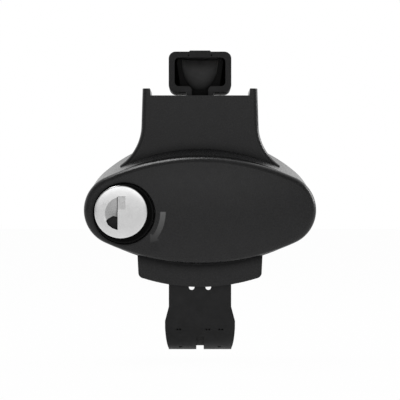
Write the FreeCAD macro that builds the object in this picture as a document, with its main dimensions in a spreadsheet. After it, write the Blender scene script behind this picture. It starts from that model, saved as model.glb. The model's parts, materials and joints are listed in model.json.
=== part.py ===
"""Roof bar foot for a raised rail.

X runs along the rail, Y along the load bar and away from the cover, Z up.
The origin is the centre of the rail that the foot clamps. Lengths are in millimetres.
"""
import FreeCAD, Part
import Sketcher
import math
import os

os.makedirs("parts", exist_ok=True)
doc = FreeCAD.newDocument("RoofBarFoot")

# Driving dimensions: alias, value, what it is
DIMENSIONS = [
    ("rail_radius", "19", "round rail that the foot clamps"),
    ("rail_gap", "0.4", "pad to rail before the clamp is tight"),
    ("drum_width", "143.2", "front rim of the oval housing"),
    ("drum_rise", "34.3", "rim above and below its centre"),
    ("drum_end_radius", "21.5", "rounded ends of the rim"),
    ("drum_back_gain", "2.8", "widest section of the oval housing, wider than its rim"),
    ("drum_back_rise", "47.2", "widest section above its centre"),
    ("drum_back_drop", "33", "widest section below its centre"),
    ("drum_back_shoulder", "32", "shoulder radius of the widest section"),
    ("drum_back_end", "22", "lower end radius of the widest section"),
    ("drum_height", "66", "centre of the oval above the rail centre"),
    ("rim_depth", "32", "front rim ahead of the rail centre"),
    ("widest_depth", "16", "widest section behind the rail centre"),
    ("drum_end_depth", "27", "rear face of the oval housing"),
    ("wall", "3", "moulded wall"),
    ("neck_depth_front", "17", "neck face ahead of the rail centre"),
    ("neck_depth_back", "27", "neck face behind the rail centre"),
    ("neck_top_width", "72.4", "neck at the bar seat"),
    ("neck_waist_gain", "1.4", "neck where the flare starts, wider than its top"),
    ("neck_waist_height", "119.8", "start of the flare"),
    ("flare_radius", "31.2", "hollow flare of the neck sides"),
    ("seat_height", "138", "bar seat above the rail centre"),
    ("horn_height", "4.4", "side lips of the bar seat"),
    ("lip_thick", "5.2", "side lips of the bar seat"),
    ("skirt_width", "79.2", "skirt under the oval"),
    ("skirt_taper", "1.2", "how much each side of the skirt draws in"),
    ("skirt_corner_height", "23.4", "corners of the skirt"),
    ("skirt_drop", "5.4", "middle of the skirt edge below its corners"),
    ("skirt_depth", "27", "front wall of the skirt ahead of the rail centre"),
    ("skirt_wall", "2.5", "front wall of the skirt"),
    ("rib_inner", "21", "inner ribs from the middle plane"),
    ("rib_thick", "3", "inner ribs"),
    ("cover_lap", "0.3", "cover past the housing's rim at each end"),
    ("cover_rise", "32.9", "cover above and below its centre"),
    ("cover_end_radius", "22", "rounded ends of the cover"),
    ("cover_crown", "43.4", "highest point of the cover's face"),
    ("cover_bow_length", "450", "bow of the face along its length"),
    ("cover_bow_height", "200", "bow of the face across its height"),
    ("cover_edge", "4", "rounded front edge of the cover"),
    ("cover_wall", "2.6", "cover shell"),
    ("parting_gap", "0.3", "cover to housing"),
    ("lock_inset", "23.2", "lock axis from the cover's left end"),
    ("lock_height", "64.8", "lock axis above the rail centre"),
    ("lock_face", "40.2", "face of the lock knob"),
    ("knob_radius", "16.3", "lock knob"),
    ("knob_thick", "3.7", "lock knob disc"),
    ("grip_radius", "10.5", "finger recess in the knob"),
    ("grip_depth", "2.4", "finger recess in the knob"),
    ("barrel_radius", "8", "turning lock barrel"),
    ("sleeve_wall", "4", "fixed lock sleeve"),
    ("cam_length", "12.5", "locking cam"),
    ("hinge_inset", "6.9", "cover hinge axis from the cover's right end"),
    ("hinge_depth", "30.5", "cover hinge axis ahead of the rail centre"),
    ("hinge_pin_radius", "1.5", "cover hinge pin"),
    ("screw_height", "66", "tension screw axis"),
    ("screw_radius", "4", "tension screw thread"),
    ("screw_head_radius", "6.5", "tension screw head"),
    ("screw_head_length", "8", "tension screw head"),
    ("bracket_width", "33", "steel bracket outside"),
    ("bracket_gauge", "2.5", "steel bracket sheet"),
    ("bracket_face", "23.5", "front of the bracket ahead of the rail centre"),
    ("pin_radius", "3", "cross pins"),
    ("pin_gap", "0.35", "cross pin in its slots"),
    ("head_pin_height", "86", "upper cross pin"),
    ("strap_pin_height", "46", "lower cross pin"),
    ("pull_travel", "5", "yoke forward, tight"),
    ("release_travel", "8", "yoke back, loose"),
    ("head_ratio", "0.3", "clamp head fall for each millimetre of pull"),
    ("strap_ratio", "0.8", "strap rise for each millimetre of pull"),
    ("yoke_gauge", "3", "yoke side plates"),
    ("link_spacing", "13.4", "middle planes of the stem plates and ears"),
    ("link_gauge", "3", "stem plates and carriage ears"),
    ("head_width", "39.5", "clamp head outside"),
    ("head_wall", "3.7", "clamp head strip"),
    ("head_front", "14", "front edge of the clamp head"),
    ("head_back", "20", "rear edge of the clamp head"),
    ("head_lift", "2.3", "lips of the clamp head above the bar seat"),
    ("head_height", "25.5", "clamp head outside"),
    ("head_corner", "4.4", "outer bends of the clamp head"),
    ("strap_gauge", "2", "rail strap"),
    ("lining_gauge", "2", "rubber lining of the strap"),
    ("strap_width", "39", "upper part of the strap"),
    ("strap_wide", "43.8", "widest part of the strap"),
    ("strap_tail_width", "39.8", "strap under the rail"),
    ("strap_top", "44", "top end of the strap"),
    ("strap_lip", "3", "rear lip of the strap above the rail centre"),
    ("lining_width", "36", "rubber lining"),
    ("slot_width", "4.7", "middle slot of the strap"),
    ("slot_top", "14.1", "top of the middle slot below the rail centre"),
    ("hole_radius", "1.75", "adjusting holes of the strap"),
    ("hole_spacing", "10.4", "between the holes of a pair"),
    ("hole_pitch", "10", "between pairs of holes"),
    ("first_hole_height", "17.65", "lowest pair of holes"),
    ("pad_thick", "4", "rubber rail pad"),
]

sheet = doc.addObject("Spreadsheet::Sheet", "Sizes")
for row, (alias, value, meaning) in enumerate(DIMENSIONS, start=1):
    sheet.set("A%d" % row, meaning)
    sheet.set("B%d" % row, value)
    sheet.setAlias("B%d" % row, alias)
doc.recompute()


class Size:
    """A length that keeps its value and the sheet expression it comes from."""

    def __init__(self, value, text):
        self.value = value
        self.text = text

    def __add__(self, other):
        other = size(other)
        return Size(self.value + other.value, "(%s + %s)" % (self.text, other.text))

    def __sub__(self, other):
        other = size(other)
        return Size(self.value - other.value, "(%s - %s)" % (self.text, other.text))

    def __mul__(self, other):
        other = size(other)
        return Size(self.value * other.value, "(%s * %s)" % (self.text, other.text))

    def __truediv__(self, other):
        other = size(other)
        return Size(self.value / other.value, "(%s / %s)" % (self.text, other.text))

    def __neg__(self):
        return Size(-self.value, "(0 - %s)" % self.text)

    def __radd__(self, other):
        return size(other) + self

    def __rsub__(self, other):
        return size(other) - self

    def __rmul__(self, other):
        return size(other) * self

    def __rtruediv__(self, other):
        return size(other) / self


def size(number):
    """A plain number as a Size."""
    if isinstance(number, Size):
        return number
    return Size(float(number), "(%r)" % float(number))


def root(amount):
    """Square root of a Size."""
    return Size(math.sqrt(amount.value), "sqrt(%s)" % amount.text)


def sine(degrees):
    return Size(math.sin(math.radians(degrees.value)), "sin(%s * 1deg)" % degrees.text)


def cosine(degrees):
    return Size(math.cos(math.radians(degrees.value)), "cos(%s * 1deg)" % degrees.text)


class Sheet:
    """Named access to the driving dimensions."""

    def __getattr__(self, alias):
        return Size(float(sheet.get(alias)), "Sizes.%s" % alias)


dim = Sheet()


def bind(thing, name, amount):
    """Tie a property of an object to the sheet."""
    thing.setExpression(name, size(amount).text)


# Modelling helpers

def new_body(name):
    """A sub-part: its label names its file."""
    body = doc.addObject("PartDesign::Body", name)
    body.Label = name
    body.AllowCompound = True
    return body


def origin_feature(body, role):
    for feature in body.Origin.OriginFeatures:
        if feature.Role == role:
            return feature


def line(x, y):
    return ("line", size(x), size(y), None, 0)


def arc(x, y, radius, turn):
    """An arc to a point: turn is 1 for counter-clockwise and -1 for clockwise."""
    return ("arc", size(x), size(y), size(radius), turn)


def arc_geometry(start, end, radius, turn):
    """The arc of under half a turn between two points."""
    middle = (start + end) * 0.5
    chord = end - start
    reach = math.sqrt(max(radius ** 2 - (chord.Length / 2) ** 2, 0))
    across = FreeCAD.Vector(-chord.y, chord.x, 0)
    across.normalize()
    centre = middle + across * reach * turn
    first, second = (start, end) if turn > 0 else (end, start)
    low = math.atan2(first.y - centre.y, first.x - centre.x)
    high = math.atan2(second.y - centre.y, second.x - centre.x)
    circle = Part.Circle(centre, FreeCAD.Vector(0, 0, 1), radius)
    return Part.ArcOfCircle(circle, low, high)


def draw_outline(sketch, segments):
    """A closed outline: its last segment ends where the first one starts."""
    def point(segment):
        return FreeCAD.Vector(segment[1].value, segment[2].value, 0)

    drawn = []
    for index, segment in enumerate(segments):
        start = point(segments[index - 1])
        end = point(segment)
        if segment[0] == "line":
            shape = Part.LineSegment(start, end)
        else:
            shape = arc_geometry(start, end, segment[3].value, segment[4])
        number = sketch.addGeometry(shape)
        backwards = segment[0] == "arc" and segment[4] < 0
        drawn.append((number, 2 if backwards else 1, 1 if backwards else 2))
    for index, segment in enumerate(segments):
        number, first, last = drawn[index]
        follower, begins, unused = drawn[(index + 1) % len(segments)]
        sketch.addConstraint(Sketcher.Constraint("Coincident", number, last, follower, begins))
        for way, amount in (("DistanceX", segment[1]), ("DistanceY", segment[2])):
            rule = Sketcher.Constraint(way, -1, 1, number, last, amount.value)
            place = sketch.addConstraint(rule)
            sketch.setExpression("Constraints[%d]" % place, amount.text)
        if segment[0] == "arc":
            place = sketch.addConstraint(Sketcher.Constraint("Radius", number, segment[3].value))
            sketch.setExpression("Constraints[%d]" % place, segment[3].text)


def circle(x, y, radius):
    return ("circle", size(x), size(y), size(radius))


def draw_circle(sketch, x, y, radius):
    centre = FreeCAD.Vector(x.value, y.value, 0)
    number = sketch.addGeometry(Part.Circle(centre, FreeCAD.Vector(0, 0, 1), radius.value))
    for way, amount in (("DistanceX", x), ("DistanceY", y)):
        place = sketch.addConstraint(Sketcher.Constraint(way, -1, 1, number, 3, amount.value))
        sketch.setExpression("Constraints[%d]" % place, amount.text)
    place = sketch.addConstraint(Sketcher.Constraint("Radius", number, radius.value))
    sketch.setExpression("Constraints[%d]" % place, radius.text)


def draw(body, name, plane, level, *loops):
    """A sketch across X, Y or Z at a level along that axis."""
    roles = {"X": "YZ_Plane", "Y": "XZ_Plane", "Z": "XY_Plane"}
    sketch = body.newObject("Sketcher::SketchObject", name)
    sketch.AttachmentSupport = [(origin_feature(body, roles[plane]), "")]
    sketch.MapMode = "FlatFace"
    level = size(level)
    bind(sketch, "AttachmentOffset.Base.z", -level if plane == "Y" else level)
    for loop in loops:
        if loop[0] == "circle":
            draw_circle(sketch, loop[1], loop[2], loop[3])
        else:
            draw_outline(sketch, loop)
    return sketch


def extrude(body, name, axis, low, high, *loops, cut=False):
    """Material, or a cut, from low to high along an axis."""
    low = size(low)
    high = size(high)
    sketch = draw(body, name + "_outline", axis, high if axis == "Y" else low, *loops)
    before = body.Shape.Volume if cut else 0
    feature = body.newObject("PartDesign::Pocket" if cut else "PartDesign::Pad", name)
    feature.Profile = sketch
    feature.Reversed = cut
    bind(feature, "Length", high - low)
    doc.recompute()
    if cut and not body.Shape.Volume < before:
        raise ValueError("%s cuts nothing" % name)
    return feature


def cut(body, name, axis, low, high, *loops):
    return extrude(body, name, axis, low, high, *loops, cut=True)


def turn(body, name, plane, level, centre, loop, axis="H_Axis", groove=False):
    """A revolved profile: the outline is drawn about a centre that lies on the axis."""
    sketch = draw(body, name + "_profile", plane, level, loop)
    bind(sketch, "AttachmentOffset.Base.x", centre[0])
    bind(sketch, "AttachmentOffset.Base.y", centre[1])
    feature = body.newObject("PartDesign::Groove" if groove else "PartDesign::Revolution", name)
    feature.Profile = sketch
    feature.ReferenceAxis = (sketch, [axis])
    feature.Angle = 360
    doc.recompute()
    return feature


def loft(body, name, front, back, kind="AdditiveLoft"):
    feature = body.newObject("PartDesign::" + kind, name)
    feature.Profile = front
    feature.Sections = [back]
    feature.Ruled = True
    doc.recompute()
    return feature


def combine(body, name, other, kind):
    """Joins another body to this one, or cuts it out."""
    feature = body.newObject("PartDesign::Boolean", name)
    feature.Type = kind
    feature.addObject(other)
    doc.recompute()
    return feature


def edges_where(shape, test):
    """Names of the edges whose middle point and direction pass a test."""
    names = []
    for number, edge in enumerate(shape.Edges, start=1):
        middle = edge.valueAt((edge.FirstParameter + edge.LastParameter) / 2)
        along = edge.tangentAt((edge.FirstParameter + edge.LastParameter) / 2)
        if test(middle, along, edge):
            names.append("Edge%d" % number)
    return names


def soften(body, name, amount, test, kind="Fillet"):
    """Rounds, or chamfers, the edges that pass a test."""
    base = body.Tip
    names = edges_where(base.Shape, test)
    if not names:
        raise ValueError("%s finds no edge" % name)
    feature = body.newObject("PartDesign::" + kind, name)
    feature.Base = (base, names)
    bind(feature, "Radius" if kind == "Fillet" else "Size", amount)
    doc.recompute()
    return feature


def block(x0, x1, y0, y1):
    """A rectangle in a sketch."""
    return [line(x1, y0), line(x1, y1), line(x0, y1), line(x0, y0)]


def slot(x, y, half_length, radius):
    """An upright slot, its ends drawn as quarter turns."""
    x = size(x)
    y = size(y)
    top = y + half_length
    bottom = y - half_length
    return [line(x + radius, top), arc(x, top + radius, radius, 1), arc(x - radius, top, radius, 1),
            line(x - radius, bottom), arc(x, bottom - radius, radius, 1),
            arc(x + radius, bottom, radius, 1)]


def slanted_slot(y, z, low, high, rise, radius):
    """A slot about a slanted line through (y, z), from low to high along Y, rising by rise."""
    length = root(1 + rise * rise)
    across_y = -rise * radius / length
    across_z = radius / length
    along_y = radius / length
    along_z = rise * radius / length
    low_z = z + rise * low
    high_z = z + rise * high
    low_y = y + low
    high_y = y + high
    return [line(low_y + across_y, low_z + across_z),
            arc(low_y - along_y, low_z - along_z, radius, 1),
            arc(low_y - across_y, low_z - across_z, radius, 1),
            line(high_y - across_y, high_z - across_z),
            arc(high_y + along_y, high_z + along_z, radius, 1),
            arc(high_y + across_y, high_z + across_z, radius, 1)]


def oval(half, rise, drop, centre, shoulder, end):
    """Two long arcs and rounded ends: shoulder is the upper end radius, end the lower one."""
    def long_arc(reach, radius):
        across = half - radius
        return (reach * reach + across * across - radius * radius) / (2 * (reach - radius))

    top = long_arc(rise, shoulder)
    bottom = long_arc(drop, end)
    top_share = shoulder / (top - shoulder)
    bottom_share = end / (bottom - end)
    top_x = (half - shoulder) * (1 + top_share)
    top_z = centre + (top - rise) * top_share
    bottom_x = (half - end) * (1 + bottom_share)
    bottom_z = centre - (bottom - drop) * bottom_share
    return [arc(-top_x, top_z, top, 1), arc(-half, centre, shoulder, 1),
            arc(-bottom_x, bottom_z, end, 1), arc(bottom_x, bottom_z, bottom, 1),
            arc(half, centre, end, 1), arc(top_x, top_z, shoulder, 1)]


def mirrored(loop):
    """The same outline on the other side of the middle plane."""
    if loop[0] == "circle":
        return circle(-loop[1], loop[2], loop[3])
    return [(kind, -x, y, radius, -turn) for kind, x, y, radius, turn in loop]


def both(*loops):
    """Outlines on both sides of the middle plane."""
    return list(loops) + [mirrored(loop) for loop in loops]


def plates(body, name, near, far, *loops):
    """Two upright plates, the same distance each side of the middle plane."""
    extrude(body, name + "_right", "X", near, far, *loops)
    extrude(body, name + "_left", "X", -far, -near, *loops)


# Places that several pieces share

half_neck = dim.neck_top_width / 2
half_waist = (dim.neck_top_width + dim.neck_waist_gain) / 2
half_seat = half_neck - dim.lip_thick
cover_width = dim.drum_width + 2 * dim.cover_lap
hinge_x = cover_width / 2 - dim.hinge_inset
skirt_top = dim.drum_height - 16
strap_inner = dim.rail_radius + dim.lining_gauge
strap_outer = strap_inner + dim.strap_gauge
pad_outer = dim.rail_radius + dim.rail_gap + dim.pad_thick
lip_underside = dim.seat_height + dim.head_lift
head_top = lip_underside + dim.head_height
stem_slot_half = dim.link_spacing / 2 + dim.link_gauge / 2 + 1.8
bracket_inner = dim.bracket_width / 2 - dim.bracket_gauge
bracket_back = dim.bracket_face - dim.bracket_gauge
yoke_outer = bracket_inner - 1
yoke_inner = yoke_outer - dim.yoke_gauge
slot_radius = dim.pin_radius + dim.pin_gap
carrier_depth = dim.neck_depth_front
lug_radius = size(2.8)
knuckle_half = size(5)
lug_half = size(8.6)
screw_core = size(1.7)
lock_x = dim.lock_inset - cover_width / 2
knob_back = dim.lock_face - dim.knob_thick
sleeve_front = knob_back - 0.3
sleeve_back = sleeve_front - 9.6
seat_back = -sleeve_front + 3
recess_shift = size(1.6)
recess_drop = size(1.0)
recess_radius = dim.knob_radius + 2.0
cam_front = sleeve_back - 3.4
cam_thick = size(2.4)
latch_thick = size(2)
latch_front = cam_front + 0.8 + latch_thick
link_low = dim.link_spacing / 2 - dim.link_gauge / 2
link_high = dim.link_spacing / 2 + dim.link_gauge / 2
tongue_gap = size(0.05)
rib_outer = dim.rib_inner + dim.rib_thick
bracket_screw_places = [(dim.rib_inner + dim.rib_thick / 2, dim.screw_height + rise)
                        for rise in (-8, 22)]
nut_depth = size(3)
nut_half = size(5.2)
nut_high = size(6.2)
trunnion_radius = size(4.5)
pin_reach = dim.bracket_width / 2 + 3
clip_near = pin_reach - 1.8
clip_far = pin_reach - 0.9
groove_radius = dim.pin_radius - 0.7
latch_screw_x = -rib_outer - 7
pad_seat_top = pad_outer + 6.6
hook_height = dim.first_hole_height + dim.hole_pitch
housing_inside = dim.drum_end_depth - dim.wall
drum_tail = size(4)
skirt_back = dim.drum_end_depth - 2


def neck_outline(inset, top):
    """The neck's sides with their hollow flare, down into the oval."""
    flare = dim.flare_radius + inset
    foot_x = half_waist - inset + flare * (1 - math.cos(math.radians(55)))
    foot_z = dim.neck_waist_height - flare * math.sin(math.radians(55))
    base_z = dim.drum_height + 14
    return [line(half_neck - inset, top), line(-(half_neck - inset), top),
            line(-(half_waist - inset), dim.neck_waist_height), arc(-foot_x, foot_z, flare, -1),
            line(-foot_x, foot_z - 5), line(-(half_neck + 4), base_z),
            line(half_neck + 4, base_z), line(foot_x, foot_z - 5), line(foot_x, foot_z),
            arc(half_waist - inset, dim.neck_waist_height, flare, -1)]


def skirt_outline(inset):
    """The skirt's drawn-in sides and its bowed lower edge."""
    half = dim.skirt_width / 2 - inset
    foot = half - dim.skirt_taper
    corner = size(3)
    chord = foot - corner
    bow = (chord * chord + dim.skirt_drop * dim.skirt_drop) / (2 * dim.skirt_drop)
    low = dim.skirt_corner_height
    return [line(half, skirt_top), line(-half, skirt_top), line(-foot, low + corner),
            arc(-chord, low, corner * 1.2, 1), arc(0, low - dim.skirt_drop, bow, 1),
            arc(chord, low, bow, 1), arc(foot, low + corner, corner * 1.2, 1)]


# Housing

def drum_sections(body, name, inset, front, back):
    """The oval housing at its rim and at its widest section."""
    rim = draw(body, name + "_rim", "Y", front,
               oval(dim.drum_width / 2 - inset, dim.drum_rise - inset, dim.drum_rise - inset,
                    dim.drum_height, dim.drum_end_radius - inset, dim.drum_end_radius - inset))
    widest = draw(body, name + "_widest", "Y", back, widest_oval(inset))
    return rim, widest


def widest_oval(inset):
    return oval((dim.drum_width + dim.drum_back_gain) / 2 - inset, dim.drum_back_rise - inset,
                dim.drum_back_drop - inset, dim.drum_height,
                dim.drum_back_shoulder - inset, dim.drum_back_end - inset)


def housing_shell(body):
    """Neck, oval drum and skirt, moulded as one."""
    extrude(body, "neck", "Y", -dim.neck_depth_front, dim.neck_depth_back,
            neck_outline(size(0), dim.seat_height + dim.horn_height))
    soften(body, "neck_corners", 3,
           lambda p, d, e: abs(d.z) > 0.9 and p.z > dim.neck_waist_height.value)
    rim, widest = drum_sections(body, "drum", size(0), -dim.rim_depth, dim.widest_depth)
    loft(body, "drum", rim, widest)
    tail = dim.drum_end_depth - drum_tail
    extrude(body, "drum_back", "Y", dim.widest_depth, tail, widest_oval(size(0)))
    front = draw(body, "drum_tail_front", "Y", tail, widest_oval(size(0)))
    back = draw(body, "drum_tail_back", "Y", dim.drum_end_depth, widest_oval(drum_tail * 0.7))
    loft(body, "drum_tail", front, back)
    extrude(body, "skirt", "Y", -dim.skirt_depth, skirt_back, skirt_outline(size(0)))


def housing_seat(body):
    """The bar seat between its two side lips."""
    slope = size(0.6)
    top = dim.seat_height + dim.horn_height
    cut(body, "bar_seat", "Y", -dim.neck_depth_front - 1, dim.neck_depth_back + 1,
        [line(-half_seat, dim.seat_height), line(half_seat, dim.seat_height),
         line(half_seat + slope, top + 1), line(-half_seat - slope, top + 1)])
    cut(body, "seat_recesses", "Z", dim.seat_height - 2, dim.seat_height + 1,
        *both(seat_pad_outline()))


def housing_hollow(body):
    """Everything between the walls, open at the front and below."""
    rim, widest = drum_sections(body, "hollow", dim.wall, -dim.rim_depth - 0.01,
                                dim.widest_depth)
    loft(body, "hollow", rim, widest, "SubtractiveLoft")
    cut(body, "hollow_back", "Y", dim.widest_depth, dim.drum_end_depth - dim.wall,
        widest_oval(dim.wall))
    cut(body, "neck_hollow", "Y", -dim.neck_depth_front + dim.wall,
        dim.neck_depth_back - dim.wall, neck_outline(dim.wall, dim.seat_height - 5))
    cut(body, "skirt_hollow", "Y", -dim.skirt_depth + dim.skirt_wall,
        skirt_back - dim.wall,
        block(-(dim.skirt_width / 2 - dim.skirt_taper - dim.wall),
              dim.skirt_width / 2 - dim.skirt_taper - dim.wall, dim.skirt_corner_height - 8,
              skirt_top - 0.5))


def housing_ribs(body):
    """Two inner ribs from the skirt to the bar seat, and the floor that guides the stem."""
    floor_low = dim.seat_height - 14
    waist = dim.drum_height + 30
    extrude(body, "ribs", "Z", dim.skirt_corner_height, waist,
            *both(block(dim.rib_inner, rib_outer, -bracket_back, housing_inside + 0.5)))
    extrude(body, "neck_ribs", "Z", waist - 1, dim.seat_height - 4,
            *both(block(dim.rib_inner, rib_outer, -dim.neck_depth_front + 1, housing_inside + 0.5)))
    extrude(body, "stem_floor", "Z", floor_low, dim.seat_height - 4,
            block(-dim.rib_inner - 1, dim.rib_inner + 1, -dim.neck_depth_front + 1,
                  housing_inside + 0.5))


def housing_interior():
    """What the housing carries inside, as one solid with its own cuts."""
    body = new_body("housing_interior")
    housing_ribs(body)
    housing_pad_seat(body)
    housing_bosses(body)
    housing_hinge(body)
    return body


def housing_pad_seat(body):
    """The saddle that carries the rail pad, with room for the strap's ears in the middle."""
    channel = link_high + 1
    half = dim.strap_width / 2
    depth = carrier_depth
    extrude(body, "pad_seats", "Z", dim.rail_radius - 3, pad_seat_top,
            *both(block(channel, half, -depth, depth)))
    extrude(body, "pad_bridges", "Z", pad_outer + 1, pad_seat_top,
            *both(block(half - 0.5, rib_outer - 1, -depth, depth)))
    extrude(body, "pad_plate", "Z", pad_outer, pad_outer + 2.2,
            block(-channel - 0.5, channel + 0.5, -depth, depth))
    cut(body, "pad_arch", "X", -half - 1, half + 1, circle(0, 0, pad_outer))


def housing_bosses(body):
    """Bosses for the bracket's screws, and the one that carries the latch plate."""
    places = bracket_screw_places
    extrude(body, "screw_bosses", "Y", -bracket_back, -bracket_back + 14,
            *both(*[circle(x, z, 4.2) for x, z in places]))
    face = -latch_front + latch_thick
    left = latch_screw_x - 4
    right = latch_screw_x + 3
    extrude(body, "latch_boss", "Z", dim.lock_height - 6, dim.lock_height + 6,
            [line(left, face), line(right, face), line(right, -bracket_back + 1),
             line(-rib_outer + 0.5, -bracket_back + 1), line(-rib_outer + 0.5, 0), line(left, 0)])
    cut(body, "screw_bores", "Y", -bracket_back, -bracket_back + 12,
        *both(*[circle(x, z, screw_core) for x, z in places]))
    cut(body, "latch_bore", "Y", face, face + 13, circle(latch_screw_x, dim.lock_height, screw_core))


def housing_hinge(body):
    """The two lugs that hold the cover's hinge pin, and the wall that carries them."""
    x = hinge_x
    y = -dim.hinge_depth
    z = dim.drum_height
    extrude(body, "hinge_wall", "Z", z - 18, z + 18,
            block(x - 14, x - 11, y - 0.8, housing_inside + 0.5))
    extrude(body, "hinge_lug", "Z", z - lug_half, z + lug_half,
            [line(x, y - lug_radius), arc(x + lug_radius, y, lug_radius, 1),
             arc(x, y + lug_radius, lug_radius, 1), line(x - 11.5, y + 7),
             line(x - 11.5, y - 0.8)])
    cut(body, "knuckle_gap", "Z", z - knuckle_half - 0.3, z + knuckle_half + 0.3,
        block(x - 8, x + 5, y - 5, y + 8))
    cut(body, "hinge_bore", "Z", z - lug_half - 1, z + lug_half - 1,
        circle(x, y, dim.hinge_pin_radius))


def foot_body():
    """Moulded housing: shell and interior joined, then cut where a part passes both."""
    interior = housing_interior()
    body = new_body("foot_body")
    housing_shell(body)
    housing_seat(body)
    housing_hollow(body)
    relief = dim.hinge_inset + 1.2
    cut(body, "hinge_relief", "Z", dim.drum_height - 20, dim.drum_height + 20,
        circle(hinge_x, -dim.hinge_depth, relief))
    combine(body, "with_interior", interior, "Fuse")
    cut(body, "stem_slot", "Z", dim.seat_height - 22, dim.seat_height + 1,
        block(-stem_slot_half, stem_slot_half, -dim.head_front - 0.8, dim.head_back + 0.8))
    return body


# Rubber pads

def rail_pad():
    """Two rubber lobes on the rail, joined by a thin web."""
    body = new_body("rail_pad")
    inner = dim.rail_radius + dim.rail_gap
    outer = pad_outer
    reach = size(50)
    edge = dim.strap_width / 2
    channel = link_high + 1
    extrude(body, "lobes", "X", -edge, edge,
            [line(outer * sine(reach), outer * cosine(reach)),
             arc(0, outer, outer, 1), arc(-outer * sine(reach), outer * cosine(reach), outer, 1),
             line(-inner * sine(reach), inner * cosine(reach)),
             arc(0, inner, inner, -1), arc(inner * sine(reach), inner * cosine(reach), inner, -1)])
    cut(body, "sight_channel", "X", -channel, channel,
        block(-outer, outer, 0, outer - 1.6))
    for place in (-9, -3, 3, 9):
        cut(body, "groove_%d" % place, "X", -edge - 1, edge + 1,
            circle(place, root(inner * inner - place * place), 0.8))
    return body


def seat_pad_outline():
    """Outline of the right bar pad."""
    return block(dim.head_width / 2 - 8.5, half_seat - 2, -dim.neck_depth_front + 3,
                 dim.neck_depth_back - 3)


def bar_pad(name, outline):
    """A rubber pad let into the bar seat."""
    body = new_body(name)
    extrude(body, "pad", "Z", dim.seat_height - 2, dim.seat_height + 0.2, outline)
    return body


# Clamp mechanism

def frame_bracket():
    """Folded steel bracket: it takes the screw's pull and guides both cross pins."""
    body = new_body("frame_bracket")
    half = dim.bracket_width / 2
    face = -dim.bracket_face
    back = -bracket_back
    flange = bracket_screw_places[0][0] + 4.5
    head_drop = dim.pull_travel * dim.head_ratio
    head_lift = dim.release_travel * dim.head_ratio
    strap_lift = dim.pull_travel * dim.strap_ratio
    strap_drop = dim.release_travel * dim.strap_ratio
    low = dim.strap_pin_height - strap_drop - slot_radius - 3.2
    high = dim.head_pin_height + 9
    front_low = dim.strap_top + strap_lift + 5
    extrude(body, "front_wall", "Y", face, back, block(-flange, flange, front_low, high))
    plates(body, "side", bracket_inner, half,
           [line(back, high), line(back, front_low), line(back + 1.5, front_low),
            line(back + 1.5, low), line(17, low), line(17, high)])
    cut(body, "pin_slots", "X", -half - 1, half + 1,
        slot(0, dim.head_pin_height + (head_lift - head_drop) / 2,
             (head_lift + head_drop) / 2 + 0.3, slot_radius),
        slot(0, dim.strap_pin_height + (strap_lift - strap_drop) / 2,
             (strap_lift + strap_drop) / 2 + 0.3, slot_radius))
    cut(body, "screw_holes", "Y", face - 1, back + 1,
        circle(0, dim.screw_height, dim.screw_radius + 0.06),
        *both(*[circle(x, z, screw_core + 0.5) for x, z in bracket_screw_places]))
    return body


def bracket_screws():
    """Four pan-head screws that hold the bracket to the housing."""
    body = new_body("bracket_screws")
    face = -dim.bracket_face
    places = bracket_screw_places
    extrude(body, "heads", "Y", face - 2.4, face, *both(*[circle(x, z, 3.6) for x, z in places]))
    extrude(body, "shanks", "Y", face, -bracket_back + 10,
            *both(*[circle(x, z, screw_core) for x, z in places]))
    cut(body, "drives", "Y", face - 2.5, face - 1.2,
        *both(*[block(x - 2, x + 2, z - 0.4, z + 0.4) for x, z in places]))
    return body


def tension_screw():
    """Socket-head screw along the load bar."""
    body = new_body("tension_screw")
    head_back = -dim.bracket_face - 1.6
    head_front = head_back - dim.screw_head_length
    z = dim.screw_height
    tip = nut_depth + nut_half + dim.release_travel + 1.5
    extrude(body, "shank", "Y", head_back, tip, circle(0, z, dim.screw_radius))
    extrude(body, "head", "Y", head_front, head_back, circle(0, z, dim.screw_head_radius))
    hexagon = size(3.5)
    half = hexagon * 0.8660254
    socket = [line(0, z + hexagon), line(-half, z + hexagon / 2), line(-half, z - hexagon / 2),
              line(0, z - hexagon), line(half, z - hexagon / 2), line(half, z + hexagon / 2)]
    cut(body, "socket", "Y", head_front - 0.01, head_front + 5, socket)
    soften(body, "head_edge", 0.6,
           lambda p, d, e: abs(p.y - head_front.value) < 0.01 and e.Length > 35, "Chamfer")
    soften(body, "tip_edge", 0.8, lambda p, d, e: abs(p.y - tip.value) < 0.01, "Chamfer")
    return body


def screw_washer():
    body = new_body("screw_washer")
    extrude(body, "washer", "Y", -dim.bracket_face - 1.6, -dim.bracket_face,
            circle(0, dim.screw_height, 8.4), circle(0, dim.screw_height, dim.screw_radius + 0.2))
    return body


def cam_yoke():
    """Two slotted side plates joined by a rear bridge."""
    body = new_body("cam_yoke")
    front = -dim.release_travel - slot_radius - 3.2
    back = dim.pull_travel + slot_radius + 2.6
    low = dim.strap_pin_height - dim.release_travel * dim.strap_ratio - slot_radius - 3.2
    high = dim.head_pin_height + dim.release_travel * dim.head_ratio + slot_radius + 2.6
    plates(body, "plate", yoke_inner, yoke_outer, block(front, back, low, high))
    cut(body, "cam_slots", "X", -yoke_outer - 1, yoke_outer + 1,
        slanted_slot(size(0), dim.head_pin_height, -dim.release_travel - 0.3,
                     dim.pull_travel + 0.3, -dim.head_ratio, slot_radius),
        slanted_slot(size(0), dim.strap_pin_height, -dim.release_travel - 0.3,
                     dim.pull_travel + 0.3, dim.strap_ratio, slot_radius),
        circle(nut_depth, dim.screw_height, trunnion_radius))
    bridge_low = nut_high + 0.4
    extrude(body, "bridges", "Y", back - 2.5, back,
            *[block(-yoke_inner - 0.5, yoke_inner + 0.5, dim.screw_height + z, dim.screw_height + z + 3.4)
              for z in (bridge_low, -bridge_low - 3.4)])
    return body


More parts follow.
